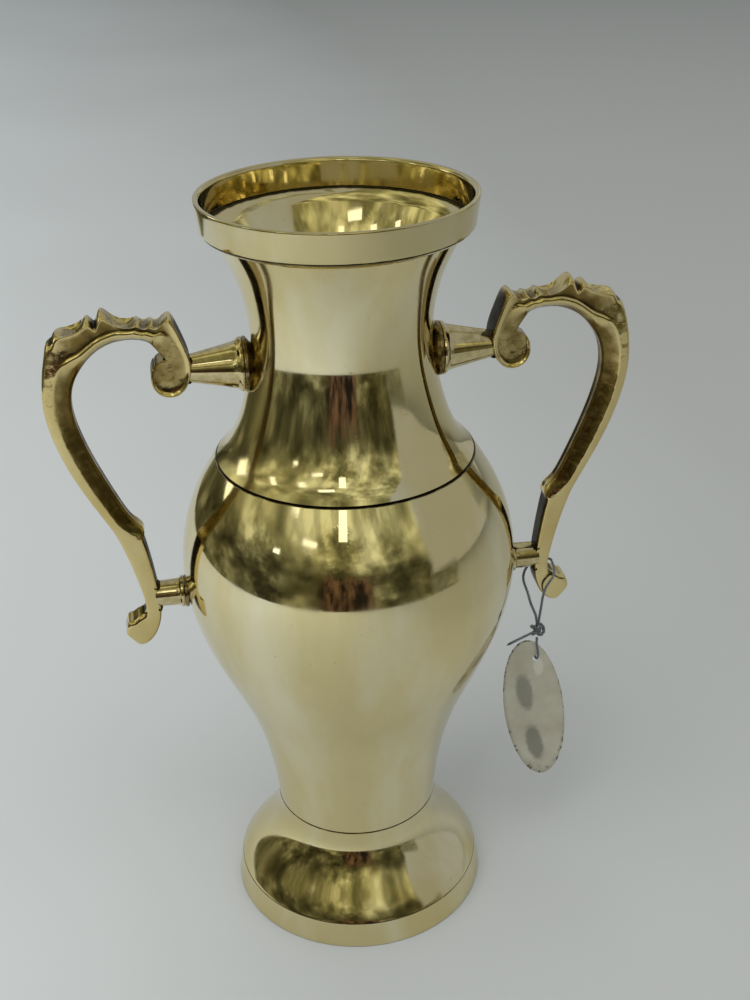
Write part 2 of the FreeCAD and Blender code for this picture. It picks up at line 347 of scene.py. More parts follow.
def castBrass(name):
    # hand-polished casting: bright crests, brown-black recesses from the groove attribute, pits
    mat, tree, shader = newMaterial(name)
    shader.inputs["Metallic"].default_value = 1.0
    groove = attributeOf(tree, "groove")
    cloudy = noiseOf(tree, 45, 4, 0.6)
    colour = mixColour(tree, ramp(tree, cloudy, (0.35, 0.0), (0.72, 0.8)), (0.76, 0.63, 0.31),
                       (0.60, 0.46, 0.17))
    brown = mathOf(tree, "ADD", groove,
                   mathOf(tree, "MULTIPLY", mathOf(tree, "SUBTRACT", noiseOf(tree, 170, 4, 0.6), 0.5),
                          0.55))
    amber = ramp(tree, brown, (0.28, 0.0), (0.60, 1.0))
    black = ramp(tree, brown, (0.62, 0.0), (0.95, 1.0))
    colour = mixColour(tree, amber, colour, (0.215, 0.150, 0.045))
    colour = mixColour(tree, black, colour, (0.022, 0.016, 0.007))
    tree.links.new(colour, shader.inputs["Base Color"])
    rough = spread(tree, noiseOf(tree, 120, 4, 0.6), 0.035, 0.15, 0.3, 0.75)
    rough = mathOf(tree, "ADD", rough, mathOf(tree, "MULTIPLY", amber, 0.07))
    rough = mathOf(tree, "ADD", rough, mathOf(tree, "MULTIPLY", black, 0.30))
    tree.links.new(rough, shader.inputs["Roughness"])
    pits = ramp(tree, noiseOf(tree, 700, 3, 0.6), (0.30, 0.0), (0.42, 1.0))
    bumps(tree, shader, (noiseOf(tree, 110, 2, 0.5), 0.00036), (noiseOf(tree, 600, 3, 0.6), 0.00001),
          (pits, 0.00002))
    return mat


def dullBrass(name, colour, dark, rough, depth=0.00008):
    # blackened or plain turned small parts; the near-black collars are painted shade
    mat, tree, shader = newMaterial(name)
    shader.inputs["Metallic"].default_value = 1.0
    blotch = ramp(tree, noiseOf(tree, 320, 5, 0.65), (0.38, 0.0), (0.66, 1.0))
    tree.links.new(mixColour(tree, blotch, colour, dark), shader.inputs["Base Color"])
    tree.links.new(spread(tree, blotch, *rough), shader.inputs["Roughness"])
    bumps(tree, shader, (noiseOf(tree, 500, 4, 0.6), depth))
    return mat


def stringCotton(name):
    mat, tree, shader = newMaterial(name)
    shade = attributeOf(tree, "ply")
    fluff = noiseOf(tree, 1600, 4, 0.7)
    stain = noiseOf(tree, 90, 3, 0.6)
    colour = mixColour(tree, ramp(tree, stain, (0.38, 0.0), (0.66, 1.0)), (0.27, 0.31, 0.33),
                       (0.09, 0.10, 0.11))
    # painted shade: the grooves between the plies, marked by the ply attribute, are darkened towards
    # near-black
    colour = mixColour(tree, mathOf(tree, "MULTIPLY", shade, 0.75), colour, (0.04, 0.045, 0.05))
    colour = mixColour(tree, ramp(tree, fluff, (0.5, 0.0), (0.8, 0.5)), colour, (0.45, 0.49, 0.52))
    tree.links.new(colour, shader.inputs["Base Color"])
    shader.inputs["Roughness"].default_value = 0.85
    shader.inputs["Sheen Weight"].default_value = 0.35
    shader.inputs["Sheen Roughness"].default_value = 0.5
    bumps(tree, shader, (fluff, 0.00012))
    return mat


def tagPaper(name, smudges):
    # thin pale card that lets light through, grey smudges and a rough dark-dotted edge
    mat, tree, shader = newMaterial(name)
    point = objectPoint(tree)
    cloudy = noiseOf(tree, 60, 4, 0.6)
    colour = mixColour(tree, ramp(tree, cloudy, (0.35, 0.0), (0.7, 1.0)), (0.72, 0.70, 0.58),
                       (0.58, 0.54, 0.42))
    for centre, size, turn, shade, depth in smudges:
        near = addNode(tree, "ShaderNodeMapping", {"Vector": point, "Location": centre},
                       vector_type="TEXTURE")
        near.inputs["Rotation"].default_value = (0, turn, 0)
        near.inputs["Scale"].default_value = size
        far = addNode(tree, "ShaderNodeVectorMath", {0: near.outputs[0]},
                      operation="LENGTH").outputs["Value"]
        ragged = mathOf(tree, "ADD", far, mathOf(tree, "MULTIPLY", noiseOf(tree, 300, 4, 0.7), 0.55))
        colour = mixColour(tree, ramp(tree, mathOf(tree, "MULTIPLY", ragged, 0.5), (0.52, depth),
                                      (0.70, 0.0)), colour, shade)
    edge = attributeOf(tree, "rim")
    dots = mathOf(tree, "MULTIPLY", edge, ramp(tree, noiseOf(tree, 420, 2, 0.5), (0.54, 0.25), (0.62, 1.0)))
    colour = mixColour(tree, dots, colour, (0.05, 0.04, 0.02))
    tree.links.new(colour, shader.inputs["Base Color"])
    shader.inputs["Roughness"].default_value = 0.42
    shader.inputs["Specular IOR Level"].default_value = 0.4
    bumps(tree, shader, (noiseOf(tree, 220, 4, 0.6), 0.00010))
    glow = addNode(tree, "ShaderNodeBsdfTranslucent", {"Color": colour})
    both = addNode(tree, "ShaderNodeMixShader", {0: 0.35, 1: shader.outputs[0], 2: glow.outputs[0]})
    tree.links.new(both.outputs[0], tree.nodes["Material Output"].inputs["Surface"])
    return mat


# the string, from the crook above the foot scroll down to the knot
strings = {
    "diameter": 1.2 * mm,
    "crook": (82.6, 0.6, 143.4),
    "front": [(83.3, -6.0, 141.4), (78.2, -8.0, 136.4), (77.4, -6.6, 130.4), (77.5, -5.0, 124.6),
              (77.4, -3.5, 119.6),
              (77.2, -3.0, 115.0)],
    "back": [(81.6, 7.0, 141.8), (75.2, 7.9, 138.2), (71.2, 2.8, 135.2), (72.2, -3.4, 131.4),
             (73.0, -4.6, 127.2),
             (74.6, -4.2, 123.2), (76.3, -3.3, 119.0), (76.6, -3.0, 115.0)],
    "tail": [(75.4, -3.6, 112.1), (70.9, -5.4, 111.6), (67.1, -5.6, 110.2), (63.3, -5.9, 108.6)],
    # the real string lies along the handle above the first point and hangs free below the second
    "bendFrom": (0.0769, -0.003, 0.1262), "bendTo": (0.0769, -0.003, 0.1190),
}


def routeLine(name, points, resolution=16):
    # the smooth line of a route, read from its own curve
    data = bpy.data.curves.new(name + "_route", "CURVE")
    data.dimensions = "3D"
    data.resolution_u = resolution
    spline = data.splines.new("NURBS")
    spline.points.add(len(points) - 1)
    for spot, p in zip(spline.points, points):
        spot.co = (p[0] * mm, p[1] * mm, p[2] * mm, 1)
    spline.order_u = 3
    spline.use_endpoint_u = True
    holder = bpy.data.objects.new(name + "_route", data)
    bpy.context.scene.collection.objects.link(holder)
    bpy.context.view_layer.update()
    mesh = bpy.data.meshes.new_from_object(holder.evaluated_get(bpy.context.evaluated_depsgraph_get()))
    line = [v.co.copy() for v in mesh.vertices]
    bpy.data.objects.remove(holder)
    bpy.data.meshes.remove(mesh)
    if (line[0] - Vector(points[0]) * mm).length > (line[-1] - Vector(points[0]) * mm).length:
        line.reverse()
    return line


def twisted(name, line, diameter, plies=3, twist=3.2, taper=0.0, sides=18):
    # a laid string along a line: a lobed section that turns as it goes, closed at both ends
    mesh = bpy.data.meshes.new(name)
    shape = bmesh.new()
    ply = shape.verts.layers.float.new("ply")
    reach = [0.0]
    for a, b in zip(line, line[1:]):
        reach.append(reach[-1] + (b - a).length)
    side = (line[1] - line[0]).orthogonal().normalized()
    rings = []
    for i, p in enumerate(line):
        ahead = (line[min(i + 1, len(line) - 1)] - line[max(i - 1, 0)]).normalized()
        side = (side - ahead * side.dot(ahead)).normalized()
        other = ahead.cross(side)
        turn = reach[i] / (diameter * twist) * 2 * math.pi
        end = min(1.0, (reach[-1] - reach[i]) / (diameter * 1.5) + 0.35) if taper else 1.0
        ring = []
        for k in range(sides):
            a = 2 * math.pi * k / sides
            lobe = 0.84 + 0.16 * math.cos(plies * a)
            r = diameter / 2 * lobe * end
            r *= 1 + 0.06 * noise.noise(p * 2600 + Vector((k, 0, 0)))
            v = shape.verts.new(p + (side * math.cos(a + turn) + other * math.sin(a + turn)) * r)
            # ply rises in the grooves between the lobes; the string material paints it as shade
            v[ply] = max(0.0, (1 - lobe) / 0.32 * 1.6 - 0.2)
            ring.append(v)
        rings.append(ring)
    for a, b in zip(rings, rings[1:]):
        for k in range(sides):
            shape.faces.new((a[k], a[(k + 1) % sides], b[(k + 1) % sides], b[k]))
    shape.faces.new(list(reversed(rings[0])))
    shape.faces.new(rings[-1])
    bmesh.ops.recalc_face_normals(shape, faces=shape.faces)
    shape.to_mesh(mesh)
    shape.free()
    piece = bpy.data.objects.new(name, mesh)
    bpy.context.scene.collection.objects.link(piece)
    selectOnly(piece)
    bpy.ops.object.shade_smooth_by_angle(angle=math.radians(60))
    return piece


def lineLength(line):
    return sum((b - a).length for a, b in zip(line, line[1:]))


cotton = stringCotton("grey_cotton_string")
strandLines = {}
strandPieces = {}
for side in ("front", "back"):
    line = routeLine(side, [strings["crook"]] + strings[side])
    piece = twisted(f"{side}_string", line, strings["diameter"])
    strandLines[side], strandPieces[side] = line, piece
    print(side, "string", round(lineLength(line) * 1000, 1), "mm")


def makeKnot():
    # an overhand knot with two turned wraps, as a lumpy ball of string
    c = (knotLow + knotHigh) / 2
    turns = []
    for i in range(97):
        t = i / 96 * 2 * math.pi
        r = 1.75 + 0.85 * math.cos(3 * t)
        turns.append(c + Vector((r * math.cos(2 * t) * 1.05, r * math.sin(2 * t) * 0.9,
                                 1.75 * math.sin(3 * t) + 0.1)) * mm)
    return twisted("string_knot_ball", turns, strings["diameter"] * 1.3, twist=3.0)


knotBall = finishPiece(makeKnot(), "knot", "grey_string", cotton, "string_knot")
tailLine = routeLine("tail", strings["tail"])
tailPiece = finishPiece(twisted("string_tail_end", tailLine, strings["diameter"], taper=1.0), "knot",
                        "grey_string", cotton,
                        "string_tail")


def makeTie():
    # a loop of string through the tag's hole and over its top edge
    x, y = (tieLow.x + tieHigh.x) / 2, (tieLow.y + tieHigh.y) / 2
    half, r = (tieHigh.y - tieLow.y) / 2 - strings["diameter"] / 2, strings["diameter"] / 2
    low, high = tieLow.z + r, tieHigh.z - r
    loop = []
    for i in range(65):
        t = i / 64 * 2 * math.pi
        loop.append(Vector((x + 0.35 * mm * math.sin(2 * t), y + half * math.cos(t),
                            (low + high) / 2 + (high - low) / 2 * math.sin(t))))
    return twisted("tag_tie_loop", loop, strings["diameter"] * 0.95, twist=3.0)


tieLoop = finishPiece(makeTie(), "tag", "grey_string", cotton, "tag_tie")
for side, node in (("front", "string_front_strand"), ("back", "string_back_strand")):
    piece, line = strandPieces[side], strandLines[side]
    finishPiece(piece, None, "grey_string", cotton, node)
    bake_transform(piece)
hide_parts("string_drop")
print("strings done")


# the turned body
body = {
    "steps": 224,
    "rim": {"inner": 47.2, "low": 48.25, "top": 49.65, "lip": 1.6, "rounding": 1.2},
    "neck": [(42.2, 210.0), (36.7, 225.0), (33.2, 243.0), (33.5, 257.0), (37.4, 273.0), (43.9, 286.6)],
    "belly": [(33.0, 43.6), (34.2, 55.0), (42.6, 90.0), (60.1, 132.0), (64.3, 159.0), (58.2, 186.0),
              (48.9, 202.0)],
    "foot": [(50.7, 10.7), (48.3, 14.2), (42.3, 21.5), (35.6, 31.0), (33.2, 37.5), (33.1, 42.9)],
    "spacing": 1.4,
    "wall": 1.8,
}


def makeRim():
    rim = body["rim"]
    inner, low, top = rim["inner"], rim["low"], rim["top"]
    z0, z1 = rimLow.z * 1000, rimHigh.z * 1000
    profile = rounded([(inner, z0), (low, z0), (top, z1), (top - rim["lip"], z1), (inner, z1 - 0.9)],
                      rim["rounding"], {1, 2, 3, 4}, 5)
    wall = []                                   # close edge loops keep the long faces even
    for a, b in zip(profile, profile[1:] + profile[:1]):
        n = max(1, int(round(math.dist(a, b) / 1.2)))
        wall += [(a[0] + (b[0] - a[0]) * k / n, a[1] + (b[1] - a[1]) * k / n) for k in range(n)]
    return lathe("rim_band_turned", wall, body["steps"])


def makeNeck():
    outer = smoothLine([(48.2, seamZ * 1000 + 0.55), (44.9, 206.0)] + body["neck"], body["spacing"])
    top = bandZ * 1000
    flange = [(45.2, top - 1.75), (46.9, top - 1.25), (47.5, top - 0.75), (47.5, top - 0.02)]
    inner = inwards(outer, 1.6)
    hem = [(46.0, seamZ * 1000 - 3.0), (46.2, seamZ * 1000), (47.7, seamZ * 1000 + 0.05)]
    profile = outer + flange + [(46.2, top - 0.02), (44.6, top - 1.1)] + list(reversed(inner[2:-1]))
    profile += [(44.6, seamZ * 1000 - 3.0)] + hem
    return lathe("neck_turned", profile, body["steps"])


def makeBelly():
    outer = smoothLine(body["belly"], body["spacing"])
    inner = inwards(outer, body["wall"])
    floorZ = footSeamZ * 1000 + 2.5
    inner = [p for p in inner if p[1] > floorZ + 1.5 and p[1] < 199.0]
    lip = [(47.6, seamZ * 1000 + 0.02), (46.5, seamZ * 1000 - 0.3), (46.5, 199.2)]
    base = [(0.0, floorZ), (0.0, footSeamZ * 1000 + 0.02), (31.8, footSeamZ * 1000 + 0.02),
            (32.4, footSeamZ * 1000 + 0.1)]
    profile = outer + lip + list(reversed(inner)) + [(30.2, floorZ + 0.5), (28.5, floorZ)] + base
    return lathe("belly_turned", profile, body["steps"])


def makeFoot():
    crease = body["foot"][0]
    outer = smoothLine(body["foot"], 1.2)
    inner = inwards(outer, 2.0)
    rimPart = rounded([(50.4, 0.0), (52.7, 0.0), (crease[0] + 0.05, crease[1] - 0.2)], 0.8, {1}, 4)
    low = [rimPart[0]] + rimPart[1:-1]
    a, b = low[-1], (crease[0], crease[1])
    low += [(a[0] + (b[0] - a[0]) * k / 7, a[1] + (b[1] - a[1]) * k / 7) for k in range(1, 7)]
    low += [(crease[0] + 0.1, crease[1] - 0.45), (crease[0] - 0.05, crease[1] + 0.05)]
    profile = low + outer[1:] + [(32.5, footSeamZ * 1000), (4.2, footSeamZ * 1000),
                                 (4.2, footSeamZ * 1000 - 3.0)]
    inner = [p for p in inner if p[1] < footSeamZ * 1000 - 3.2]
    profile += [(30.6, footSeamZ * 1000 - 3.0)] + list(reversed(inner)) + [(50.3, 1.2)]
    return lathe("foot_turned", profile, body["steps"])


# the rim band's brass is a darker copy at 0.86, painted shade
brassRim = spunBrass("rim_band_painted_shade_brass", [(bandZ, 0.0005)], 0.86)
brassNeck = spunBrass("neck_brass", [(seamZ, 0.0007), (bandZ, 0.0011)])
brassBelly = spunBrass("belly_brass", [(seamZ, 0.0007), (footSeamZ, 0.0005)])
brassFoot = spunBrass("foot_brass", [(footSeamZ, 0.0005), (0.0107, 0.00035), (0.0, 0.0005)])
for make, finish, node in ((makeRim, brassRim, "rim_band"), (makeNeck, brassNeck, "neck"),
                           (makeBelly, brassBelly, "belly"), (makeFoot, brassFoot, "foot")):
    piece = make()
    cleanUp(piece, 28)
    finishPiece(piece, "vase", "spun_brass", finish, node)
    print(piece.name, len(piece.data.polygons), "faces")


# bosses and their collars
bossLook = {"upper": {"z": 239.5, "face": 36.3, "wide": 10.0, "narrow": 4.7, "reach": 57.5},
            "lower": {"z": 147.5, "face": 65.0, "wide": 6.2, "narrow": 5.0, "reach": 76.0}}
brassBoss = dullBrass("boss_brass", (0.70, 0.60, 0.34), (0.48, 0.38, 0.18), (0.04, 0.12), 0.000008)
# the collars are painted near-black as painted shade, standing in for the shadowed gap where each boss's
# wide end meets the neck
collarPaintedShade = dullBrass("collar_painted_shade_brass", (0.40, 0.31, 0.15), (0.06, 0.045, 0.02), (0.10, 0.3), 0.00002)


def makeBoss(level):
    b = bossLook[level]
    x0, x1 = b["face"], b["reach"]
    if level == "upper":
        waist = [(b["wide"] - 0.15, x0 + 0.1), (b["wide"], x0 + 0.7), (b["wide"] - 0.5, x0 + 1.6),
                 (b["wide"] - 1.1, x0 + 2.0)]
        count = 12
        cone = [(b["wide"] - 1.3 - (b["wide"] - 1.3 - b["narrow"]) * (k / count)**0.92,
                 x0 + 2.4 + (x1 - x0 - 2.4) * k / count)
                for k in range(count + 1)]
    else:
        waist = [(b["wide"] - 0.15, x0 + 0.1), (b["wide"], x0 + 0.5), (b["wide"] - 0.2, x0 + 1.2),
                 (b["wide"] - 0.9, x0 + 1.7)]
        count = 8
        cone = [(b["wide"] - 1.0 - (b["wide"] - 1.0 - b["narrow"]) * k / count,
                 x0 + 2.1 + (x1 - x0 - 2.1) * k / count)
                for k in range(count + 1)]
    profile = [(0.0, x0)] + waist + cone + [(0.0, x1)]
    return lathe(f"{level}_boss_turned_right", profile, 72, "X", (0, 0, b["z"] * mm), closed=False)


def makeCollar(level):
    b = bossLook[level]
    r = b["wide"] + 0.15
    x0 = b["face"] - (4.6 if level == "upper" else 2.4)
    x1 = b["face"]
    profile = [(0.0, x0), (r * 0.6, x0), (r - 0.15, x1 - 1.5), (r, x1 - 0.9), (r - 0.1, x1 - 0.35),
               (r - 0.5, x1), (0.0, x1 + 0.02)]
    return lathe(f"{level}_collar_turned_right", profile, 72, "X", (0, 0, b["z"] * mm), closed=False)


def mirrorCopy(piece, name):
    twin = piece.copy()
    twin.data = piece.data.copy()
    twin.name = twin.data.name = name
    bpy.context.scene.collection.objects.link(twin)
    twin.data.transform(Matrix.Scale(-1, 4, (1, 0, 0)))
    startEditing(twin)
    bpy.ops.mesh.select_all(action="SELECT")
    bpy.ops.mesh.normals_make_consistent(inside=False)
    stopEditing()
    return twin


for level in ("upper", "lower"):
    for kind, make, slotName, finish in (("boss", makeBoss, "spun_brass", brassBoss),
                                         ("collar", makeCollar, "dark_brass", collarPaintedShade)):
        right = make(level)
        cleanUp(right, 35)
        left = mirrorCopy(right, f"{level}_{kind}_turned_left")
        finishPiece(right, "vase", slotName, finish, f"{level}_{kind}_right")
        finishPiece(left, "vase", slotName, finish, f"{level}_{kind}_left")
print("bosses and collars done")


# the scroll handles: one section carried from the curl's tip round the arch to the foot scroll
handle = {
    # outer point, inner point, half width, scoop of the crest, kind of section (0 scroll, 1 leaf and
    # moulding, 2 bevelled leg, 3 plain), dirt on the crest, dirt on the inner face
    "stations": [
        ((67.7, 243.6), (66.0, 243.2), 5.2, 0.0, 0.0, 0.8, 0.9),
        ((69.0, 241.2), (65.2, 241.6), 5.7, 0.0, 0.0, 0.8, 0.9),
        ((69.5, 237.8), (64.5, 240.0), 5.9, 0.0, 0.0, 0.7, 0.8),
        ((68.8, 234.6), (64.0, 239.2), 6.0, 0.0, 0.0, 0.5, 0.5),
        ((66.8, 232.1), (63.5, 238.8), 6.0, 0.0, 0.0, 0.4, 0.4),
        ((63.8, 230.8), (63.0, 238.8), 6.0, 0.0, 0.0, 0.3, 0.4),
        ((60.4, 231.0), (62.5, 239.0), 6.0, 0.0, 0.0, 0.5, 0.4),
        ((57.4, 233.2), (62.1, 239.6), 6.0, 0.0, 0.0, 0.8, 0.4),
        ((55.6, 236.6), (62.0, 240.6), 6.0, 0.0, 0.0, 1.0, 0.5),
        ((54.7, 240.6), (62.3, 242.4), 6.0, 0.0, 0.0, 1.1, 0.7),
        ((54.9, 244.9), (63.2, 244.4), 6.0, 0.0, 0.0, 1.1, 0.9),
        ((56.3, 249.4), (64.6, 246.4), 6.0, 0.1, 0.0, 1.1, 0.9),
        ((57.8, 254.0), (66.2, 248.6), 6.0, 0.1, 0.1, 1.1, 0.8),
        ((59.2, 258.4), (67.4, 250.0), 6.0, 0.1, 0.3, 0.9, 0.7),
        ((60.3, 260.8), (68.2, 250.8), 6.0, 0.0, 0.6, 0.2, 0.7),
        ((61.7, 260.7), (69.0, 251.3), 6.0, 0.0, 0.9, 0.0, 0.7),
        ((63.0, 258.9), (69.8, 251.7), 6.0, 1.1, 1.0, 0.5, 0.7),
        ((64.9, 258.5), (70.6, 252.0), 6.0, 2.0, 1.0, 0.6, 0.7),
        ((66.5, 260.2), (71.5, 252.3), 6.0, 0.1, 1.0, 0.0, 0.7),
        ((67.6, 258.9), (72.4, 252.5), 6.0, 1.3, 1.0, 0.6, 0.7),
        ((69.7, 258.7), (73.6, 252.7), 6.0, 2.2, 1.0, 0.6, 0.7),
        ((71.4, 261.1), (74.8, 252.8), 6.0, 0.0, 1.0, 0.0, 0.7),
        ((72.6, 260.0), (75.8, 252.8), 6.0, 1.6, 1.0, 0.5, 0.7),
        ((75.3, 259.8), (77.3, 252.8), 6.0, 3.0, 1.0, 0.5, 0.7),
        ((78.6, 260.8), (79.0, 252.6), 6.0, 3.4, 1.0, 0.4, 0.7),
        ((81.6, 262.8), (80.6, 252.4), 6.0, 1.8, 1.0, 0.3, 0.7),
        ((84.1, 265.2), (82.1, 251.9), 6.0, 0.1, 1.0, 0.0, 0.7),
        ((85.4, 264.0), (83.3, 251.5), 6.0, 0.1, 1.0, 0.2, 0.7),
        ((87.0, 259.2), (84.7, 250.9), 6.0, 0.9, 1.0, 1.4, 0.7),
        ((88.5, 261.9), (86.0, 250.2), 6.0, 0.1, 1.0, 0.2, 0.7),
        ((89.9, 262.7), (87.3, 249.4), 6.0, 0.0, 1.0, 0.0, 0.7),
        ((91.8, 261.0), (88.8, 248.2), 6.0, 1.8, 1.0, 0.3, 0.7),
        ((95.1, 259.6), (90.4, 246.7), 6.0, 3.4, 1.0, 0.4, 0.7),
        ((98.6, 258.8), (92.0, 244.9), 6.0, 2.6, 1.1, 0.5, 0.7),
        ((101.4, 258.4), (93.5, 242.9), 6.0, 0.1, 1.3, 0.0, 0.7),
        ((102.4, 254.6), (94.7, 241.0), 6.0, 0.7, 1.5, 1.3, 0.7),
        ((104.3, 254.4), (95.6, 239.3), 6.0, 0.1, 1.65, 0.0, 0.7),
        ((106.0, 249.9), (96.6, 236.8), 6.0, 0.9, 1.8, 0.2, 0.7),
        ((107.5, 244.0), (97.4, 233.6), 6.0, 1.2, 1.9, 0.3, 0.7),
        ((108.4, 236.9), (97.8, 229.8), 6.0, 0.9, 1.97, 0.3, 0.7),
        ((108.5, 229.4), (97.6, 225.4), 6.0, 0.3, 2.0, 0.3, 0.7),
        ((107.3, 221.4), (96.5, 219.8), 6.0, 0.0, 2.0, 0.1, 0.7),
        ((105.2, 213.4), (94.7, 213.4), 6.0, 0.0, 2.0, 0.0, 0.7),
        ((102.2, 204.6), (92.0, 205.8), 5.8, 0.0, 2.0, 0.0, 0.7),
        ((98.2, 195.4), (88.5, 197.2), 5.5, 0.0, 2.0, 0.0, 0.7),
        ((93.8, 187.0), (84.7, 188.6), 5.2, 0.0, 2.0, 0.0, 0.7),
        ((90.6, 180.9), (81.6, 182.2), 5.1, 0.0, 2.0, 0.0, 0.65),
        ((89.6, 178.8), (79.2, 180.4), 5.0, 0.0, 2.1, 0.0, 0.35),
        ((88.7, 176.9), (77.4, 178.0), 4.9, 0.0, 2.35, 0.0, 0.10),
        ((87.9, 175.0), (77.3, 175.6), 4.85, 0.0, 2.7, 0.0, 0.5),
        ((87.2, 173.4), (78.3, 174.0), 4.8, 0.0, 3.0, 0.0, 1.0),
        ((86.2, 170.4), (77.6, 171.4), 4.7, 0.0, 3.0, 0.0, 1.1),
        ((83.8, 162.6), (76.3, 164.0), 4.4, 0.0, 3.0, 0.0, 1.1),
        ((81.6, 153.4), (75.0, 154.6), 4.3, 0.0, 3.0, 0.2, 1.1),
        ((80.2, 146.8), (74.3, 147.2), 4.3, 0.0, 3.0, 0.5, 1.1),
        ((80.0, 142.9), (74.2, 142.0), 4.4, 0.0, 3.0, 0.9, 1.0),
        ((81.4, 140.5), (74.9, 137.2), 4.7, 0.2, 3.0, 1.0, 0.8),
        ((83.6, 140.4), (76.3, 133.2), 5.0, 0.0, 3.0, 0.1, 0.5),
        ((85.4, 138.4), (78.4, 130.0), 5.2, 0.9, 3.0, 0.5, 0.3),
        ((87.6, 138.7), (80.6, 128.2), 5.2, 0.0, 3.0, 0.0, 0.2),
        ((88.6, 135.6), (82.4, 127.5), 5.1, 0.8, 3.0, 0.8, 0.2),
        ((89.2, 132.4), (84.6, 127.6), 4.7, 0.2, 3.0, 0.3, 0.2),
    ],
}


def handleSection(thick, half, scoop, kind, crest, inner):
    # half of a section, from the inner side to the outer crest: (distance, half width, dirt)
    s = min(1.0, thick / 8.0)
    scroll = [(0.0, 0.0, inner), (0.0, 0.40, inner), (0.0, 0.74, inner), (0.08 * thick, 0.83, 0.55),
              (0.2 * thick, 0.84, 0.52),
              (0.35 * thick, 0.845, 0.50), (0.5 * thick, 0.85, 0.50), (0.62 * thick, 0.86, 0.48),
              (0.74 * thick, 0.88, 0.45),
              (thick - 1.5 * s, 0.92, 0.15), (thick - 0.8 * s, 1.0, 0.0), (thick - 0.15 * s, 0.98, 0.1),
              (thick, 0.80, crest), (thick - scoop, 0.0, crest)]
    face, lip = max(thick - 2.7 * s, 5.9 * s), max(thick - 2.0 * s, 6.3 * s)
    leaf = [(0.45 * s, 0.0, inner), (0.15 * s, 0.25, inner), (0.0, 0.42, inner), (1.0 * s, 0.60, 0.6),
            (2.0 * s, 0.84, 0.5),
            (2.5 * s, 0.955, 0.0), (3.6 * s, 1.0, 0.0), (4.7 * s, 0.96, 0.05), (5.1 * s, 0.84, 0.95),
            (5.6 * s, 0.83, 0.72),
            (face, 0.88, 0.55), (lip, 0.97, -0.2),
            (thick - 0.8 * s - 0.9 * scoop, 0.60, crest), (thick - scoop, 0.0, crest)]
    t = thick / 10.6
    leg = [(0.4 * t, 0.0, inner), (0.25 * t, 0.20, inner), (0.1 * t, 0.40, inner), (0.9 * t, 0.54, 0.70),
           (2.4 * t, 0.64, 0.66),
           (4.2 * t, 0.80, 0.62), (5.8 * t, 0.965, 0.50), (6.3 * t, 1.0, 0.0), (7.0 * t, 1.0, 0.0),
           (8.0 * t, 0.985, 0.0),
           (9.0 * t, 0.95, 0.0), (9.9 * t, 0.87, 0.0), (10.5 * t - 0.8 * scoop, 0.60, crest),
           (thick - scoop, 0.0, crest)]
    plain = [(0.0, 0.0, inner), (0.0, 0.40, inner), (0.0, 0.78, inner), (0.05 * thick, 0.93, 0.5 * inner),
             (0.13 * thick, 0.99, 0.0), (0.26 * thick, 1.0, 0.0), (0.40 * thick, 1.0, 0.0),
             (0.52 * thick, 1.0, 0.0),
             (0.64 * thick, 1.0, 0.0), (0.78 * thick, 0.99, 0.0), (0.90 * thick, 0.95, 0.0),
             (0.97 * thick, 0.84, 0.0), (thick - 0.7 * scoop, 0.50, crest), (thick - scoop, 0.0, crest)]
    kinds = [scroll, leaf, leg, plain]
    first = min(int(kind), 2)
    share = kind - first
    pairs = zip(kinds[first], kinds[first + 1])
    return [tuple(p * (1 - share) + q * share for p, q in zip(a, b)) for a, b in pairs]


def nearest(spots, spot):
    return min(range(len(spots)), key=lambda k: (spots[k] - spot).length)


def makeHandle():
    bpy.ops.object.select_all(action="DESELECT")
    count = 26
    outer, inner = handle["stations"][0][:2]
    start = Vector((outer[0] + inner[0], 0, outer[1] + inner[1])) * (mm / 2)
    bpy.ops.mesh.primitive_circle_add(vertices=count, radius=3 * mm, fill_type="NGON", location=start)
    piece = bpy.context.object
    piece.name = piece.data.name = "handle_cast_right"
    bpy.ops.object.transform_apply(location=True, rotation=True, scale=True)
    bpy.ops.object.mode_set(mode="EDIT")
    bpy.ops.mesh.select_all(action="SELECT")
    shape = bmesh.from_edit_mesh(piece.data)
    groove = shape.verts.layers.float.new("groove")
    shape.verts.ensure_lookup_table()
    ring = list(shape.verts)
    for index, (outer, inner, half, scoop, kind, crest, dirt) in enumerate(handle["stations"]):
        if index:
            bpy.ops.mesh.extrude_region_move(TRANSFORM_OT_translate={"value": (0, 0, 0)})
            shape = bmesh.from_edit_mesh(piece.data)
            groove = shape.verts.layers.float.get("groove")
            face = [f for f in shape.faces if f.select][0]
            ring = list(face.verts)
        o, i = Vector((outer[0], 0, outer[1])), Vector((inner[0], 0, inner[1]))
        across = (o - i)
        thick = across.length
        across.normalize()
        section = [(d, w * half, g) for d, w, g in handleSection(thick, half, scoop, kind, crest, dirt)]
        spots = [(i + across * d + Vector((0, -w, 0)), g) for d, w, g in section]
        spots += [(i + across * d + Vector((0, w, 0)), g) for d, w, g in reversed(section[1:-1])]
        if index == 0:
            order = ring
        else:
            order = sorted(ring, key=lambda v: nearest(previous, v.co))
        for v, (spot, g) in zip(order, spots):
            v.co = spot * mm
            v[groove] = g
        previous = [v.co.copy() for v in order]
        bmesh.update_edit_mesh(piece.data)
    stopEditing()
    cleanUp(piece, 60, 1e-6)
    smooth = piece.modifiers.new("round", "SUBSURF")
    smooth.levels = smooth.render_levels = 2
    applyModifiers(piece)
    return piece


brassHandle = castBrass("handle_cast_brass")
rightHandle = makeHandle()
leftHandle = mirrorCopy(rightHandle, "handle_cast_left")
finishPiece(rightHandle, "vase", "cast_brass", brassHandle, "right_handle")
finishPiece(leftHandle, "vase", "cast_brass", brassHandle, "left_handle")
curlEye = {"x": 63.6, "z": 240.4, "radius": 4.7, "half": 5.06}


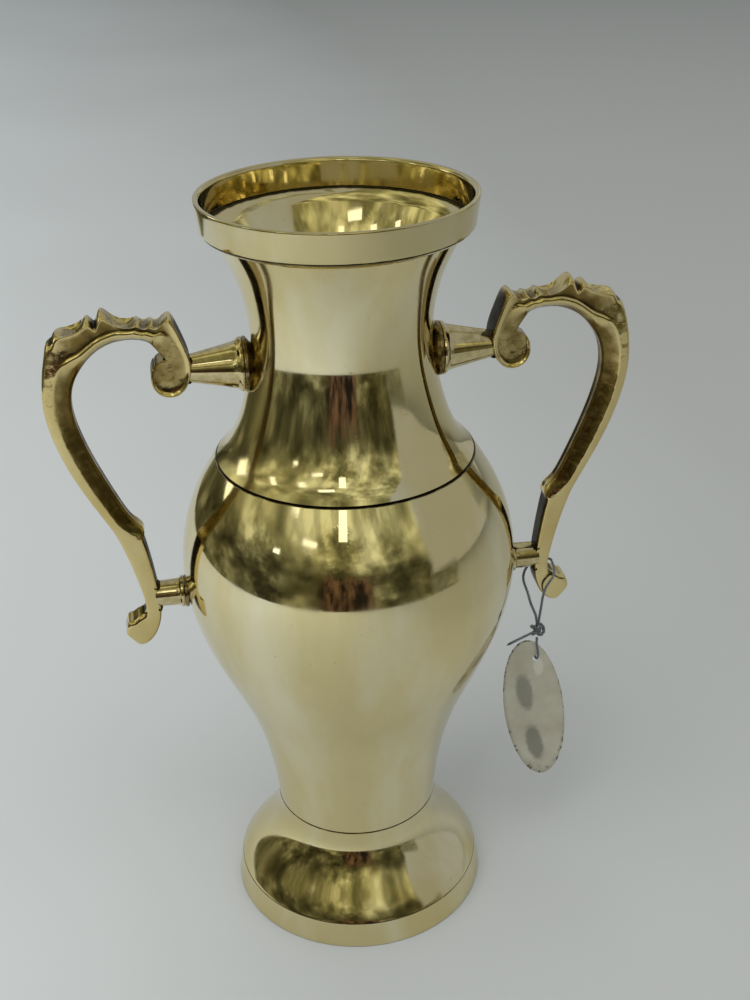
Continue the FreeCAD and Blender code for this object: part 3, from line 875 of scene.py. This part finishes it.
def makeCurlEye():
    r, h = curlEye["radius"], curlEye["half"]
    profile = [(0.0, -h), (r * 0.5, -h + 0.03), (r - 0.5, -h + 0.06), (r, -h + 0.5), (r, h - 0.5),
               (r - 0.5, h - 0.06),
               (r * 0.5, h - 0.03), (0.0, h)]
    piece = lathe("curl_eye_right", profile, 48, "Y", (curlEye["x"] * mm, 0, curlEye["z"] * mm),
                  closed=False)
    layer = piece.data.attributes.new("groove", "FLOAT", "POINT")
    for spot in layer.data:
        spot.value = 0.52
    return piece


eyeRight = makeCurlEye()
cleanUp(eyeRight, 40)
eyeLeft = mirrorCopy(eyeRight, "curl_eye_left")
finishPiece(eyeRight, "vase", "cast_brass", brassHandle)
finishPiece(eyeLeft, "vase", "cast_brass", brassHandle)
print("handles", len(rightHandle.data.polygons), "faces each")


# dark solder where the bosses meet the handles
def solderBlob(name, centre, size, seed):
    bpy.ops.object.select_all(action="DESELECT")
    bpy.ops.mesh.primitive_uv_sphere_add(segments=32, ring_count=20, radius=1.0, location=(0, 0, 0))
    piece = bpy.context.object
    piece.name = piece.data.name = name
    for v in piece.data.vertices:
        n = noise.fractal(v.co * 1.7 + Vector((seed, 0, 0)), 1.0, 2.0, 4)
        v.co = Vector(centre) * mm + Vector((v.co.x * size[0], v.co.y * size[1],
                                             v.co.z * size[2])) * (1 + 0.32 * n) * mm
    bpy.ops.object.shade_smooth()
    return piece


solder = dullBrass("solder_black", (0.07, 0.055, 0.035), (0.012, 0.010, 0.008), (0.3, 0.7))
solderSpots = [("upper", (56.2, -2.4, 243.0), (2.0, 2.4, 2.2)),
               ("upper_low", (56.4, -1.0, 235.6), (1.8, 2.6, 1.4)),
               ("lower", (75.3, -1.2, 152.0), (1.5, 3.2, 1.4)),
               ("lower_low", (75.2, -1.0, 142.4), (1.4, 3.2, 1.6))]
for k, (label, centre, size) in enumerate(solderSpots):
    right = solderBlob(f"solder_{label}_right", centre, size, 3.7 * k)
    left = mirrorCopy(right, f"solder_{label}_left")
    finishPiece(right, "vase", "dark_brass", solder)
    finishPiece(left, "vase", "dark_brass", solder)


# the tag
tag = {
    "lean": 8.8, "long": 71.0, "wide": 26.0, "thick": 0.45, "hole": 1.6, "holeZ": 98.6, "rings": 26,
    "steps": 220,
    # where, half sizes, turn, colour, strength
    "smudges": [((0.0723, -0.003, 0.0820), (0.0036, 0.02, 0.0098), -0.20, (0.22, 0.215, 0.18), 0.60),
                ((0.0776, -0.003, 0.0550), (0.0036, 0.02, 0.0100), -0.26, (0.20, 0.20, 0.165), 0.65),
                ((0.0780, -0.003, 0.0945), (0.0022, 0.02, 0.0050), -0.10, (0.86, 0.86, 0.78), 0.55)],
}


def makeTag():
    # the oval is drawn as rings from the hole out, so that its rough edge and rim are part of the mesh
    mesh = bpy.data.meshes.new("tag_card_oval")
    shape = bmesh.new()
    rim = shape.verts.layers.float.new("rim")
    lean = math.radians(tag["lean"])
    along = Vector((-math.sin(lean), 0, math.cos(lean)))
    across = Vector((along.z, 0, -along.x))
    centre = Vector(((cardLow.x + cardHigh.x) / 2, (cardLow.y + cardHigh.y) / 2,
                     (cardLow.z + cardHigh.z) / 2)) * 1000
    hole = Vector((centre.x, centre.y, tag["holeZ"]))
    hole.x = (tieLow.x + tieHigh.x) * 500
    rings = []
    for j in range(tag["rings"] + 1):
        t = j / tag["rings"]
        ring = []
        for k in range(tag["steps"]):
            a = 2 * math.pi * k / tag["steps"]
            ragged = 0.16 * noise.noise(Vector((math.cos(a) * 14, math.sin(a) * 14,
                                                3))) + 0.10 * noise.noise(
                Vector((math.cos(a) * 40, math.sin(a) * 40, 9)))
            edge = centre + across * ((tag["wide"] / 2 + ragged - 0.2) * math.cos(a)) + along * (
                (tag["long"] / 2 + ragged - 0.2) * math.sin(a))
            inner = hole + across * (tag["hole"] * math.cos(a)) + along * (tag["hole"] * math.sin(a))
            p = inner.lerp(edge, t**1.15)
            bow = 0.25 * math.sin((p.z - centre.z) / 18.0) + 0.12 * noise.noise(p / 11)
            v = shape.verts.new((p + Vector((0, bow * min(1, (p - hole).length / 20), 0))) * mm)
            v[rim] = max(0.0, 1 - (1 - t) * tag["rings"] / 1.6)
            ring.append(v)
        rings.append(ring)
    n = tag["steps"]
    for a, b in zip(rings, rings[1:]):
        for k in range(n):
            shape.faces.new((a[k], a[(k + 1) % n], b[(k + 1) % n], b[k]))
    bmesh.ops.recalc_face_normals(shape, faces=shape.faces)
    shape.to_mesh(mesh)
    shape.free()
    piece = bpy.data.objects.new("tag_card_oval", mesh)
    bpy.context.scene.collection.objects.link(piece)
    thick = piece.modifiers.new("thickness", "SOLIDIFY")
    thick.thickness = tag["thick"] * mm
    thick.offset = 0
    applyModifiers(piece)
    bpy.ops.object.shade_smooth_by_angle(angle=math.radians(40))
    return piece


finishPiece(makeTag(), "tag", "tag_card", tagPaper("tag_card_paper", tag["smudges"]), "tag_card")
print("tag done")


# carried-over small parts
screwBrass = dullBrass("plain_screw_brass", (0.60, 0.48, 0.24), (0.34, 0.25, 0.10), (0.22, 0.42))
for name, node in nodes.items():
    if node.hide_render:
        continue
    node.data.materials.clear()
    node.data.materials.append(screwBrass)
    print("kept from the frame:", name)


# floor, light and the soft room that the polish mirrors
room = {
    # the floor runs from a lighter left to a darker right: painted light and shade from the key light's
    # side
    "floor": 9.0, "left": (0.71, 0.74, 0.74), "right": (0.42, 0.43, 0.41), "world": (0.80, 0.83, 0.84),
    "strength": 0.50,
    "radius": 0.80,
    # azimuth from and to in degrees (0 is the front, 90 the right), lowest height, how solid it is
    "walls": [(-158, 47, -1.0, 1.0), (40, 66, -1.0, 0.75), (100, 124, 0.10, 0.6), (150, 166, 0.12, 0.6)],
    "wallTops": [9.0, 0.20, 9.0, 9.0],
    "figure": (-9, 21, 0.40),
    # azimuth, elevation, width, height
    "lamps": [(-36, 24, 0.095, 0.026), (-52, 34, 0.060, 0.075), (-58, 15, 0.045, 0.026),
              (-12, 33, 0.055, 0.12),
              (-29, 44, 0.12, 0.045), (-82, 30, 0.05, 0.11), (-118, 16, 0.10, 0.16)],
    "lampDistance": 0.56, "lampStrength": 1.8,
    # name, azimuth, power in watts, size, distance
    "lights": [("key", -48, 17, 1.4, 1.8), ("fill", 40, 9, 1.8, 2.2), ("back", 170, 8, 1.8, 2.2)],
}


def emitter(name, colour, strength):
    mat, tree, shader = newMaterial(name)
    tree.nodes.remove(shader)
    glow = addNode(tree, "ShaderNodeEmission", {"Color": (*colour, 1), "Strength": strength})
    tree.links.new(glow.outputs[0], tree.nodes["Material Output"].inputs["Surface"])
    return mat


def onlyReflected(piece):
    piece.visible_camera = False
    piece.visible_diffuse = False
    piece.visible_shadow = False


def card(name, centre, size, aim, finish):
    # a flat card that only reflections see
    bpy.ops.object.select_all(action="DESELECT")
    bpy.ops.mesh.primitive_plane_add(size=1, location=(0, 0, 0))
    piece = bpy.context.object
    piece.name = piece.data.name = name
    face = (Vector(aim) - Vector(centre)).to_track_quat("Z", "Y")
    piece.data.transform(Matrix.LocRotScale(Vector(centre), face, Vector((size[0], size[1], 1))))
    piece.data.materials.append(finish)
    onlyReflected(piece)
    return piece


def around(azimuth, elevation, distance, height=0.2):
    # a point round the vase: azimuth 0 is the front, 90 the right
    a, e = math.radians(azimuth), math.radians(elevation)
    return (math.sin(a) * math.cos(e) * distance, -math.cos(a) * math.cos(e) * distance,
            height + math.sin(e) * distance)


def roomPaint(name):
    # dark olive low down, a lighter yellow ceiling above, with loose shapes and soft ends
    mat, tree, shader = newMaterial(name)
    tree.nodes.remove(shader)
    split = addNode(tree, "ShaderNodeSeparateXYZ", {"Vector": objectPoint(tree)})
    x, y, z = split.outputs["X"], split.outputs["Y"], split.outputs["Z"]
    azimuth = mathOf(tree, "MULTIPLY", mathOf(tree, "ARCTAN2", x, mathOf(tree, "MULTIPLY", y, -1.0)),
                     180 / math.pi)
    ragged = mathOf(tree, "ADD", azimuth,
                    mathOf(tree, "MULTIPLY", mathOf(tree, "SUBTRACT", noiseOf(tree, 5, 3), 0.5), 9.0))

    def between(value, low, high, soft):
        rise = mathOf(tree, "DIVIDE", mathOf(tree, "SUBTRACT", value, low), soft, clamp=True)
        fall = mathOf(tree, "DIVIDE", mathOf(tree, "SUBTRACT", high, value), soft, clamp=True)
        return mathOf(tree, "MULTIPLY", rise, fall)

    lift = mathOf(tree, "ADD", z, mathOf(tree, "MULTIPLY", noiseOf(tree, 3.0, 2, 0.5), 0.16))
    shapes = noiseOf(tree, 4.6, 5, 0.62, (1, 1, 1.4))
    low = ramp(tree, shapes, (0.38, (0.030, 0.028, 0.014)), (0.52, (0.11, 0.105, 0.055)),
               (0.66, (0.36, 0.35, 0.22)))
    high = ramp(tree, shapes, (0.34, (0.12, 0.115, 0.055)), (0.48, (0.36, 0.35, 0.19)),
                (0.62, (0.86, 0.85, 0.56)))
    colour = mixColour(tree, ramp(tree, lift, (0.38, 0.0), (0.52, 1.0)), low, high)
    beams = addNode(tree, "ShaderNodeTexWave",
                    {"Vector": objectPoint(tree, (1, 1, 1), (0.5, 0.3, 0.4)), "Scale": 2.2,
                                                "Distortion": 4.5, "Detail": 3.0}).outputs["Fac"]
    colour = mixColour(tree, mathOf(tree, "MULTIPLY", ramp(tree, beams, (0.45, 0.0), (0.75, 1.0)), 0.30),
                       colour, (0.05, 0.045, 0.02))
    middle, half, top = room["figure"]
    body = mathOf(tree, "MULTIPLY", between(ragged, middle - half, middle + half, 7.0),
                  between(lift, -1.0, top, 0.06))
    cloth = ramp(tree, noiseOf(tree, 16, 3, 0.6, (1, 1, 0.25)), (0.40, (0.016, 0.013, 0.011)),
                 (0.62, (0.17, 0.10, 0.065)))
    colour = mixColour(tree, body, colour, cloth)
    solid = None
    for (a0, a1, z0, share), z1 in zip(room["walls"], room["wallTops"]):
        wall = mathOf(tree, "MULTIPLY", between(ragged, a0, a1, 3.0), between(z, z0, z1, 0.05))
        wall = mathOf(tree, "MULTIPLY", wall, share)
        solid = wall if solid is None else mathOf(tree, "MAXIMUM", solid, wall)
    glow = addNode(tree, "ShaderNodeEmission", {"Color": colour, "Strength": 1.0})
    clear = addNode(tree, "ShaderNodeBsdfTransparent")
    both = addNode(tree, "ShaderNodeMixShader", {0: solid, 1: clear.outputs[0], 2: glow.outputs[0]})
    tree.links.new(both.outputs[0], tree.nodes["Material Output"].inputs["Surface"])
    return mat


def roomDome(name, radius, finish):
    # half a ball round the vase that only reflections see
    bpy.ops.object.select_all(action="DESELECT")
    bpy.ops.mesh.primitive_uv_sphere_add(segments=96, ring_count=48, radius=radius, location=(0, 0, 0))
    piece = bpy.context.object
    piece.name = piece.data.name = name
    bpy.ops.object.mode_set(mode="EDIT")
    bpy.ops.mesh.select_all(action="SELECT")
    bpy.ops.mesh.bisect(plane_co=(0, 0, 0.001), plane_no=(0, 0, 1), clear_inner=True)
    stopEditing()
    bpy.ops.object.shade_smooth()
    piece.data.materials.append(finish)
    onlyReflected(piece)


def makeStage():
    bpy.ops.object.select_all(action="DESELECT")
    bpy.ops.mesh.primitive_plane_add(size=room["floor"], location=(0, 0, 0))
    floor = bpy.context.object
    floor.name = floor.data.name = "studio_floor"
    mat, tree, shader = newMaterial("studio_floor_pale")
    # painted light: the floor colour goes from the lit left to the shaded right across X
    side = addNode(tree, "ShaderNodeSeparateXYZ", {"Vector": objectPoint(tree)}).outputs["X"]
    side = mathOf(tree, "ADD", side, mathOf(tree, "MULTIPLY", noiseOf(tree, 2.2, 2, 0.4), 0.25))
    tree.links.new(mixColour(tree, ramp(tree, mathOf(tree, "ADD", side, 0.5), (0.15, 0.0), (0.95, 1.0)),
                             room["left"], room["right"]),
                   shader.inputs["Base Color"])
    shader.inputs["Roughness"].default_value = 0.9
    shader.inputs["Specular IOR Level"].default_value = 0.1
    floor.data.materials.append(mat)
    world = bpy.data.worlds.new("studio")
    bpy.context.scene.world = world
    world.use_nodes = True
    world.node_tree.nodes["Background"].inputs["Color"].default_value = (*room["world"], 1)
    world.node_tree.nodes["Background"].inputs["Strength"].default_value = room["strength"]
    lamp = emitter("room_lamp", (1.0, 1.0, 0.90), room["lampStrength"])
    roomDome("room_dome", room["radius"], roomPaint("room_paint"))
    for k, (azimuth, elevation, wide, high) in enumerate(room["lamps"]):
        card(f"lamp_{k}", around(azimuth, elevation, room["lampDistance"]), (wide, high), (0, 0, 0.2), lamp)
    for name, azimuth, power, size, height in room["lights"]:
        data = bpy.data.lights.new(f"{name}_light", "AREA")
        data.energy = power
        data.size = size
        lampObject = bpy.data.objects.new(f"{name}_light", data)
        bpy.context.scene.collection.objects.link(lampObject)
        spot = Vector(around(azimuth, 55, height))
        lampObject.location = spot
        lampObject.rotation_euler = (spot - Vector((0, 0, 0.15))).to_track_quat("Z", "Y").to_euler()
        lampObject.visible_glossy = False


makeStage()
bpy.context.scene.view_settings.view_transform = "Standard"
print("stage set")
